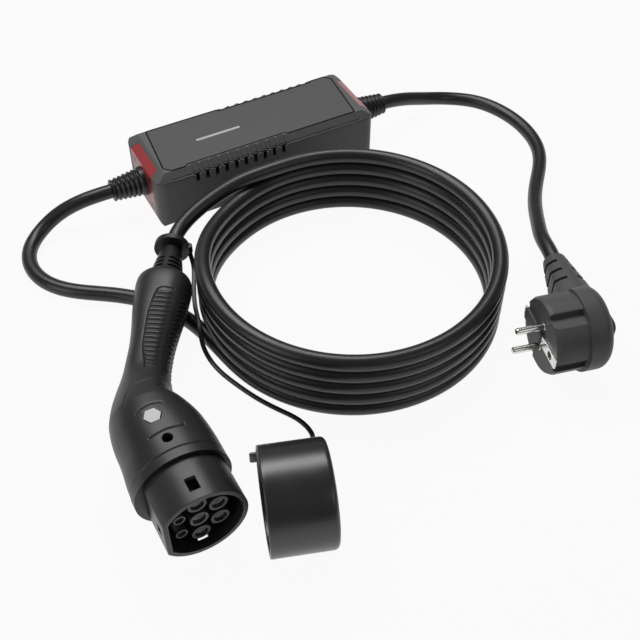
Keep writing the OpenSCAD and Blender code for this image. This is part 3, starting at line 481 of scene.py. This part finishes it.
def handle_line(t):
    """Middle line t mm behind the collar, and its angle: straight, then an arc, then straight."""
    t = np.asarray(t, float)
    a = np.clip((t - STRAIGHT) / BEND_R, 0, BEND)
    past = np.maximum(t - STRAIGHT - BEND_R * BEND, 0)
    x = BEND_R * (1 - np.cos(a)) + past * np.sin(a)
    y = HANDLE_Y + np.minimum(t, STRAIGHT) + BEND_R * np.sin(a) + past * np.cos(a)
    return x, y, a


def behind_handle(distance):
    """A point behind the handle: its end, and on along the middle line by a distance."""
    x, y, a = handle_line(HANDLE_L)
    return np.array([x + distance * np.sin(a), y + distance * np.cos(a), 0.0])


def coil_line():
    """Stacked turns: each turn is level, and all climb by one pitch in the same part of the circle."""
    a = np.arange(COIL_FROM, COIL_TO, COIL_STEP)
    turn = np.floor((a - COIL_FROM) / 360)
    within = (a - COIL_FROM) % 360 + COIL_FROM - 360
    z = CABLE_D / 2 + COIL_PITCH * (turn + ease(*COIL_CLIMB, within))
    r = np.radians(a)
    return np.stack([COIL_CENTRE[0] + COIL_R * np.cos(r), COIL_CENTRE[1] + COIL_R * np.sin(r), z], -1)


def tube(name, points, diameter, look):
    """A round cord on a smooth line, and that line: it bends no more than a stiff cord does."""
    line = relaxed(smooth_line(points, TUBE_STEP), TUBE_RELAX)
    return piece(name, carried(line, round_section(diameter / 2, TUBE_SIDES)), look), line


connector_end = [at_nose(behind_handle(HANDLE_BOOT_L + BOOT_STRAIGHT)), at_nose(behind_handle(HANDLE_BOOT_L))]
cable_points = np.concatenate([OUTPUT_ROUTE, coil_line(), CONNECTOR_ROUTE, connector_end])
cable, cable_line = tube("charging_cable", cable_points, CABLE_D, cable_finish)

boot_axis = np.array([math.sin(PLUG_BOOT_LEAN), math.cos(PLUG_BOOT_LEAN), 0])
plug_end = at_plug([PLUG_BOOT_TIP - BOOT_STRAIGHT * boot_axis, PLUG_BOOT_TIP])
mains_points = np.concatenate([MAINS_ROUTE, plug_end])
mains, mains_line = tube("mains_cable", mains_points, MAINS_D, cable_finish)

lobe_side = np.array([math.cos(BEND), -math.sin(BEND), 0])
lobe = behind_handle(TETHER_BACK) + TETHER_OUT * lobe_side - TETHER_DOWN * UP
strap_points = np.concatenate([[at_nose(lobe)], STRAP_ROUTE, at_cap(STRAP_END)])
strap_line = smooth_line(strap_points, STRAP_STEP)
strap_round = squared(round_section(1.0, STRAP_SIDES), STRAP_SOFT)
strap_section = strap_round * [STRAP_W / 2, STRAP_T / 2]
strap = piece("cap_strap", carried(strap_line, strap_section), boot_finish)

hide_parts("output_lead", "cable_coil", "connector_lead")
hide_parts("mains_lead")
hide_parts("tether_strap")

# Connector handle. Each row has a share of the length, the half width, the half height and the squareness
HANDLE_FORM = np.array([
    (0, 30.5, 30.5, 2), (0.083, 30.5, 30.5, 2), (0.178, 29.3, 30, 2), (0.278, 26.3, 28, 2.05),
    (0.331, 23, 24.8, 2.1), (0.385, 19.4, 21.2, 2.15), (0.438, 16.4, 18, 2.2), (0.485, 14.8, 16.1, 2.3),
    (0.556, 14.4, 15.6, 2.4), (0.627, 14.6, 15.7, 2.4), (0.716, 15.9, 16.2, 2.4), (0.805, 17.7, 16.9, 2.4),
    (0.893, 18.8, 17.3, 2.3), (0.94, 19.2, 17.4, 2.25), (0.97, 18.6, 17, 2.2), (0.988, 16.8, 15.6, 2.1),
    (1, 13.2, 12.6, 2),
])
# Stretches of its grid, from, to and step: along it in mm, and round it in degrees
HANDLE_ROWS = ((0, 5, 0.6), (5, 13, 0.4), (13, 80, 0.45), (80, 154, 0.42))
HANDLE_TAIL_FROM = 154
HANDLE_TAIL_ROWS = 30
HANDLE_COLUMNS = (
    (0, 1.5, 0.5), (1.5, 52, 2.2), (52, 132, 0.8), (132, 178.5, 2.2), (178.5, 181.5, 0.5),
    (181.5, 358.5, 3.4), (358.5, 360, 0.5),
)
# Dips in its sides: depth in mm, then place and width as shares of the length
INNER_DIP = 5
INNER_AT = 0.335
INNER_WIDTH = 0.05
OUTER_DIP = 2.2
OUTER_AT = 0.14
OUTER_WIDTH = 0.07
# Grooves: mm behind the collar, and mm round from the top
HEAD_GROOVES = [
    [(16.2, -12.6), (14.5, -12), (14.9, 0), (14.2, 10)],
    [(36, -6.5), (37, 0), (36.3, 6), (34.5, 10.5)],
    [(44, 14.5), (52, 12), (58.5, 5.5), (62, -3), (62.5, -9)],
    [(50, -9), (53, -8.5), (56, -11), (57.5, -15), (58, -20)],
]
GRIP_FRAME = [[
    (77, -0.7), (84, 0), (91, 1.35), (98, 2.4), (110, 2.7), (124, 2.9), (138, 1.2), (144, 0.2), (146, -2),
    (146, -10.5),
]]
CUT_WIDTH = 0.45
CUT_DEPTH = 0.4
SEAM_R = 25
SEAM_WIDTH = 0.3
SEAM_DEPTH = 0.3
SEAM_SHADE = 0.6
COLLAR_WIDTH = 0.55
COLLAR_DEPTH = 0.6
# Ribs: shares of the length, and degrees round it from the right
RIB_FROM = 0.466
RIB_TO = 0.848
RIB_LEAD = 0.002
RIB_FADE = 0.007
RIB_COUNT = 17
RIB_PHASE = 0.45
RIB_H = 0.8
RIB_SHADE = 0.55
RIB_FLANK = (0.1, 0.8)
TOP_RIGHT = (58, 72)
TOP_LEFT = 85
TOP_BLUR = 1.5
TOP_WIDER = 13
TOP_WIDER_OVER = (0.46, 0.60)
TOP_NARROWER = 9
TOP_NARROWER_OVER = (0.74, 0.86)
SIDE_LOW = (-16, -2)
SIDE_HIGH = (30, 42)
SIDE_SHARE = 0.6
SIDE_SLANT = 22
# Wells for the screw and the badge, in the connector's own mm
SCREW_AT = (-0.5, 43.5)
SCREW_WELL = 2.8
SCREW_SEAT = 22.5
BADGE_AT = (-2.0, 62.5)
BADGE_WELL = 5.55
BADGE_SEAT = 28.5
WELL_EDGE = (-0.2, 0.25)
WELL_SHADE = 0.7
HANDLE_SHARP = 50


def form_at(share):
    """Half width, half height and squareness at shares of the length: a cubic through four rows at a time."""
    f, last = HANDLE_FORM, len(HANDLE_FORM) - 1
    i = np.clip(np.searchsorted(f[:, 0], share, side="right") - 1, 0, last - 1)
    u = ((share - f[i, 0]) / (f[i + 1, 0] - f[i, 0]))[:, None]
    a, b, c, d = f[np.maximum(i - 1, 0), 1:], f[i, 1:], f[i + 1, 1:], f[np.minimum(i + 2, last), 1:]
    second = a - 2.5 * b + 2 * c - d / 2
    third = -a / 2 + 1.5 * b - 1.5 * c + d / 2
    return b + u * (c - a) / 2 + u**2 * second + u**3 * third


def near_lines(u, v, lines):
    """Distance from grid points to the nearest of some polylines, in the grid's own mm."""
    best = np.full(u.shape, np.inf)
    for line in lines:
        p = np.asarray(line, float)
        for (ax, ay), (bx, by) in zip(p[:-1], p[1:]):
            dx, dy = bx - ax, by - ay
            w = np.clip(((u - ax) * dx + (v - ay) * dy) / (dx**2 + dy**2), 0, 1)
            best = np.minimum(best, np.hypot(u - ax - w * dx, v - ay - w * dy))
    return best


def grip_ribs(share, deg):
    """Height of the ribs in mm, and the shade between them: cosine waves along the grip, in a strip on top
    whose left edge is bent, and in a lower strip on the right, where they slant."""
    start = RIB_FROM - RIB_LEAD
    zone = ease(start, start + RIB_FADE, share) * (1 - ease(RIB_TO - RIB_FADE, RIB_TO, share))
    wider = TOP_WIDER * ease(*TOP_WIDER_OVER, share)
    narrower = TOP_NARROWER * ease(*TOP_NARROWER_OVER, share)
    left = TOP_LEFT + wider - narrower
    top = ease(*TOP_RIGHT, deg) * (1 - ease(left - TOP_BLUR, left + TOP_BLUR, deg))
    signed = (deg + 90) % 360 - 90
    side = SIDE_SHARE * ease(*SIDE_LOW, signed) * (1 - ease(*SIDE_HIGH, signed))
    beat = (share - RIB_FROM) / (RIB_TO - RIB_FROM) * RIB_COUNT - RIB_PHASE
    crest = 0.5 + 0.5 * np.cos(2 * np.pi * beat)
    slant = 0.5 + 0.5 * np.cos(2 * np.pi * (beat + signed / SIDE_SLANT))
    rise = RIB_H * zone * (top * ease(*RIB_FLANK, crest) + side * ease(*RIB_FLANK, slant))
    between = zone * (top * (1 - crest) ** 2 + side * (1 - slant) ** 2)
    return rise, RIB_SHADE * between


def handle_grid():
    """Squared oval sections on the bent line: ribs raise the surface, and grooves, the seam, two dips and two
    wells take it in. Gives the grid, and the painted shade at each point, in grooves, between ribs and in
    wells."""
    stretches = [np.arange(*row) for row in HANDLE_ROWS]
    t = np.concatenate([*stretches, np.linspace(HANDLE_TAIL_FROM, HANDLE_L, HANDLE_TAIL_ROWS)])
    form = form_at(t / HANDLE_L)
    turns = np.concatenate([np.arange(*column) for column in HANDLE_COLUMNS])
    along, deg = np.meshgrid(t, turns, indexing="ij")
    share = along / HANDLE_L
    arc = (deg - 90) * np.pi / 180 * form[:, :1]
    c, s = np.cos(np.radians(deg)), np.sin(np.radians(deg))
    rise, rib_shade = grip_ribs(share, deg)
    cut = notch(near_lines(along, arc, HEAD_GROOVES + GRIP_FRAME), CUT_WIDTH)
    off_seam = np.minimum(np.abs((deg + 180) % 360 - 180), np.abs(deg - 180)) * np.pi / 180 * SEAM_R
    seam = notch(off_seam, SEAM_WIDTH)
    collar = notch(along, COLLAR_WIDTH)
    # Painted shade: darker in the grooves, the seam, the collar line and between the ribs
    groove = np.clip(cut + SEAM_SHADE * seam + rib_shade + collar, 0, 1)
    lift = rise - CUT_DEPTH * cut - SEAM_DEPTH * seam - COLLAR_DEPTH * collar
    inner = INNER_DIP * bell(share - INNER_AT, INNER_WIDTH) * np.maximum(0, c) ** 2
    outer = OUTER_DIP * bell(share - OUTER_AT, OUTER_WIDTH) * np.maximum(0, -c) ** 2
    power = 2 / form[:, 2:]
    across = (form[:, :1] + lift) * squared(c, power) - inner + outer
    up = (form[:, 1:2] + lift) * squared(s, power)
    x, y, a = handle_line(t)
    px = x[:, None] + across * np.cos(a)[:, None]
    py = y[:, None] - across * np.sin(a)[:, None]
    bx, by = px - BADGE_AT[0], py - BADGE_AT[1]
    flats = np.radians(30 + 60 * np.arange(6))
    six = np.max([bx * np.cos(f) + by * np.sin(f) for f in flats], axis=0)
    wells = (
        (np.hypot(px - SCREW_AT[0], py - SCREW_AT[1]) - SCREW_WELL, SCREW_SEAT),
        (six - BADGE_WELL * math.cos(math.pi / 6), BADGE_SEAT),
    )
    # Painted shade in the wells for the screw and the badge
    for past, seat in wells:
        inside = (1 - ease(*WELL_EDGE, past)) * (up > 0)
        up = up + inside * np.minimum(0, seat - up)
        groove = np.maximum(groove, WELL_SHADE * inside)
    return at_nose(np.stack([px, py, up], -1)), groove


handle_points, handle_grooves = handle_grid()
handle = piece(
    "handle_shell", handle_points, handle_finish, sharp=HANDLE_SHARP, groove=handle_grooves
)
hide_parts("handle_upper_shell", "handle_lower_shell")

# Dark bead in the gap round the touch panel: painted shade of that gap
BEAD_R = 0.65
BEAD_Z = 47.75
BEAD_SAMPLES = 480
BEAD_SIDES = 12


def bead_grid():
    """A thin round bead along the panel's outline, which steps in beside the grips and has cut corners."""
    hl, hw = PANEL_L / 2 + PANEL_GAP / 2, PANEL_W / 2 + PANEL_GAP / 2
    start, stop = PANEL_GRIP
    half = np.array([
        (-hl, -hw + PANEL_CORNER), (-hl + PANEL_CORNER, -hw), (start - PANEL_STEP, -hw),
        (start, -hw + PANEL_STEP), (stop, -hw + PANEL_STEP), (stop + PANEL_STEP, -hw),
        (hl - PANEL_CORNER, -hw),
    ])
    loop = resampled(np.concatenate([half, -half, half[:1]]), BEAD_SAMPLES, closed=True)
    line = np.column_stack([loop, np.full(BEAD_SAMPLES, BEAD_Z)])
    ring = np.concatenate([line[-1:], line, line[:1]])
    return carried(ring, round_section(BEAD_R, BEAD_SIDES))[1:-1]


piece("panel_gap_shade", bead_grid(), painted_gap_shade_finish, looped=True)

# Boots on the box
BOOT_ROWS = 150
BOOT_SIDES = 64
BOOT_ROUND = 0.8
RING_COUNT = 6
RING_START = 3
RING_SPAN = BOOT_L - 4
RING_DEPTH = 1.1
RING_SOFT = 0.8
RING_FADE_IN = (2.6, 3.2)
RING_FADE_OUT = (BOOT_L - 1.2, BOOT_L - 0.8)


def boot_grid(side):
    """A turned boot: radius falls along the axis, hollows leave six soft rings, and the tip is rounded."""
    x = np.linspace(0, BOOT_L, BOOT_ROWS)
    ring = (x - RING_START) / RING_SPAN * RING_COUNT
    inside = ease(*RING_FADE_IN, x) * (1 - ease(*RING_FADE_OUT, x))
    hollow = inside * RING_DEPTH * (0.5 - 0.5 * np.cos(2 * np.pi * ring)) ** RING_SOFT
    over = np.clip((x - BOOT_L + BOOT_ROUND) / BOOT_ROUND, 0, 1)
    tip = BOOT_ROUND * (1 - np.sqrt(1 - over**2))
    r = BOOT_R_FROM + (BOOT_R_TO - BOOT_R_FROM) * x / BOOT_L - hollow - tip
    path = side * (BOX_END + x)
    a = around(BOOT_SIDES)
    return np.stack(
        [
            np.broadcast_to(path[:, None], (BOOT_ROWS, BOOT_SIDES)),
            r[:, None] * np.cos(a),
            BOOT_Z + r[:, None] * np.sin(a),
        ],
        -1,
    )


for name, side in (("output_boot", -1), ("input_boot", 1)):
    boot = piece(name + "_rings", boot_grid(side), boot_finish)
    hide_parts(name)

# Dust cap: radius and place along its axis, in mm, from the middle of the floor inside to that outside
CAP_PROFILE = np.array([
    (0.01, 37.4), (10, 37.4), (20, 37.4), (28.6, 37.4), (29.6, 37.0), (30.0, 36.2), (30.1, 34), (30.1, 20),
    (30.1, 8), (30.0, 6.5), (29.6, 5.6), (29.6, 5.0), (30.0, 4.2), (30.1, 3), (30.1, 0.7), (30.3, 0.2),
    (30.8, 0), (31.8, 0), (32.3, 0.2), (32.5, 0.7), (32.5, 3), (32.5, 10), (32.5, 20), (32.5, 30),
    (32.5, 36.5), (32.3, 37.8), (31.7, 38.9), (30.7, 39.6), (29.4, 39.9), (28, 40), (20, 40), (10, 40),
    (0.01, 40),
])
CAP_SIDES = 128
CAP_SHARP = 55
# Trim: lowest and highest corners, in the cap's and the plug's own mm, and how round the edges are
LUG_BLOCK = ((25, 29.5, -15.5), (33, 35, -8.5))
TAB_BLOCK = ((-4, 30.3, -4.5), (1.5, 32.3, 4.5))
BRIDGE_BLOCK = ((-0.5, -23.5, -5.2), (2.2, 3, 5.2))
CAP_SOFT = 0.35
BRIDGE_SOFT = 0.22
BLOCK_ROWS = 33
BLOCK_SIDES = 64


def cap_grid():
    """A cup turned about its axis: round edges outside, a bead inside the rim, and a flat floor."""
    a = around(CAP_SIDES)
    r, x = CAP_PROFILE[:, :1], CAP_PROFILE[:, 1:]
    path = np.broadcast_to(x, (len(CAP_PROFILE), CAP_SIDES))
    return at_cap(np.stack([path, r * np.cos(a), r * np.sin(a)], -1))


def block_grid(low, high, soft):
    """A block with round edges: a ball whose sines and cosines are taken to the power soft, stretched to
    the block. The lower the power, the sharper the edges."""
    u = np.linspace(-np.pi / 2, np.pi / 2, BLOCK_ROWS)[:, None]
    v = around(BLOCK_SIDES)
    low, high = np.array(low, float), np.array(high, float)
    wide = squared(np.cos(u), soft)
    tall = squared(np.sin(u), soft) * np.ones_like(v)
    unit = np.stack([wide * squared(np.cos(v), soft), wide * squared(np.sin(v), soft), tall], -1)
    return (low + high) / 2 + unit * (high - low) / 2


cap = piece("cap_cup", cap_grid(), cap_finish, sharp=CAP_SHARP)
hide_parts("dust_cap")
lug = piece("cap_lug", at_cap(block_grid(*LUG_BLOCK, CAP_SOFT)), cap_finish)
piece("cap_tab", at_cap(block_grid(*TAB_BLOCK, CAP_SOFT)), cap_finish)

# Moulded bridge on the plug's face, over the far half of the earth contact
bridge = piece("earth_bridge", at_plug(block_grid(*BRIDGE_BLOCK, BRIDGE_SOFT)), plug_finish)

# Floor, light and camera, in metres, watts and degrees
WHITE = (1, 1, 1, 1)
FLOOR_HALF = 30
PAPER_GREY = (0.5, 0.5, 0.5, 1)
PAPER_ROUGH = 0.9
PAPER_SPECULAR = 0.1
PAPER_GLOW = 0.94
PAPER_GLOSSY = 1.0
WORLD_LIGHT = 0.08
WORLD_GLOSSY = 0.08
LIGHT_AIM = (0, -0.15, 0.02)
LIGHTS = (
    ("back_box", (0.05, 0.42, 1.05), (1.1, 0.55), 11.5),
    ("left_box", (-1.3, -0.35, 0.6), (0.6, 0.9), 3.6),
    ("front_box", (0.5, -1.5, 1.1), (0.9, 0.7), 2.0),
)
SENSOR_MM = 36.0
LENS_MM = 56.89
CAMERA_PLACE = (-0.2573, -0.5964, 0.5290)
CAMERA_TILT = 42.28
CAMERA_TURN = -28.09


def background_share(tree, glossy):
    """One for rays from the camera or through glass, and a share for rays that a gloss sends out."""
    ray = tree.nodes.new("ShaderNodeLightPath")
    through = tree.nodes.new("ShaderNodeMath")
    through.operation = "ADD"
    tree.links.new(ray.outputs["Is Camera Ray"], through.inputs[0])
    tree.links.new(ray.outputs["Is Transmission Ray"], through.inputs[1])
    total = tree.nodes.new("ShaderNodeMath")
    total.operation = "MULTIPLY_ADD"
    total.use_clamp = True
    total.inputs[1].default_value = glossy
    tree.links.new(ray.outputs["Is Glossy Ray"], total.inputs[0])
    tree.links.new(through.outputs[0], total.inputs[2])
    return total.outputs[0]


def white_paper():
    """Paper that glows white where it is seen, but for a small share of matt grey that takes the shadow."""
    m = bpy.data.materials.new("white_paper")
    m.use_nodes = True
    n, link = m.node_tree.nodes, m.node_tree.links.new
    matt = n["Principled BSDF"]
    matt.inputs["Base Color"].default_value = PAPER_GREY
    matt.inputs["Roughness"].default_value = PAPER_ROUGH
    matt.inputs["Specular IOR Level"].default_value = PAPER_SPECULAR
    glow = n.new("ShaderNodeEmission")
    glow.inputs["Color"].default_value = WHITE
    part = n.new("ShaderNodeMath")
    part.operation = "MULTIPLY"
    part.inputs[1].default_value = PAPER_GLOW
    both = n.new("ShaderNodeMixShader")
    link(background_share(m.node_tree, PAPER_GLOSSY), part.inputs[0])
    link(part.outputs[0], both.inputs["Fac"])
    link(matt.outputs["BSDF"], both.inputs[1])
    link(glow.outputs["Emission"], both.inputs[2])
    link(both.outputs["Shader"], n["Material Output"].inputs["Surface"])
    return m


def softbox(name, place, size, watts):
    """A rectangular area light at a place, turned to the common aim."""
    lamp = bpy.data.lights.new(name, "AREA")
    lamp.shape = "RECTANGLE"
    lamp.size, lamp.size_y = size
    lamp.energy = watts
    obj = bpy.data.objects.new(name, lamp)
    obj.location = place
    away = np.array(place, float) - np.array(LIGHT_AIM, float)
    flat = math.hypot(away[0], away[1])
    obj.rotation_euler = (math.atan2(flat, away[2]), 0, math.atan2(away[0], -away[1]))
    bpy.context.scene.collection.objects.link(obj)


floor_corners = [
    (-FLOOR_HALF, -FLOOR_HALF, 0), (FLOOR_HALF, -FLOOR_HALF, 0), (FLOOR_HALF, FLOOR_HALF, 0),
    (-FLOOR_HALF, FLOOR_HALF, 0),
]
floor_mesh = bpy.data.meshes.new("floor")
floor_mesh.from_pydata(floor_corners, [], [(0, 1, 2, 3)])
floor_mesh.materials.append(white_paper())
floor = bpy.data.objects.new("floor", floor_mesh)
bpy.context.scene.collection.objects.link(floor)

for light in LIGHTS:
    softbox(*light)

world = bpy.data.worlds.new("studio")
world.use_nodes = True
bpy.context.scene.world = world
sky, sky_link = world.node_tree.nodes, world.node_tree.links.new
sky["Background"].inputs["Color"].default_value = WHITE
sky["Background"].inputs["Strength"].default_value = WORLD_LIGHT
backdrop = sky.new("ShaderNodeBackground")
backdrop.inputs["Color"].default_value = WHITE
either = sky.new("ShaderNodeMixShader")
sky_link(background_share(world.node_tree, WORLD_GLOSSY), either.inputs["Fac"])
sky_link(sky["Background"].outputs["Background"], either.inputs[1])
sky_link(backdrop.outputs["Background"], either.inputs[2])
sky_link(either.outputs["Shader"], sky["World Output"].inputs["Surface"])

lens = bpy.data.cameras.new("camera")
lens.sensor_width = SENSOR_MM
lens.lens = LENS_MM
camera = bpy.data.objects.new("camera", lens)
camera.location = CAMERA_PLACE
camera.rotation_euler = (math.radians(CAMERA_TILT), 0, math.radians(CAMERA_TURN))
bpy.context.scene.collection.objects.link(camera)
bpy.context.scene.camera = camera
bpy.context.scene.view_settings.view_transform = "Standard"
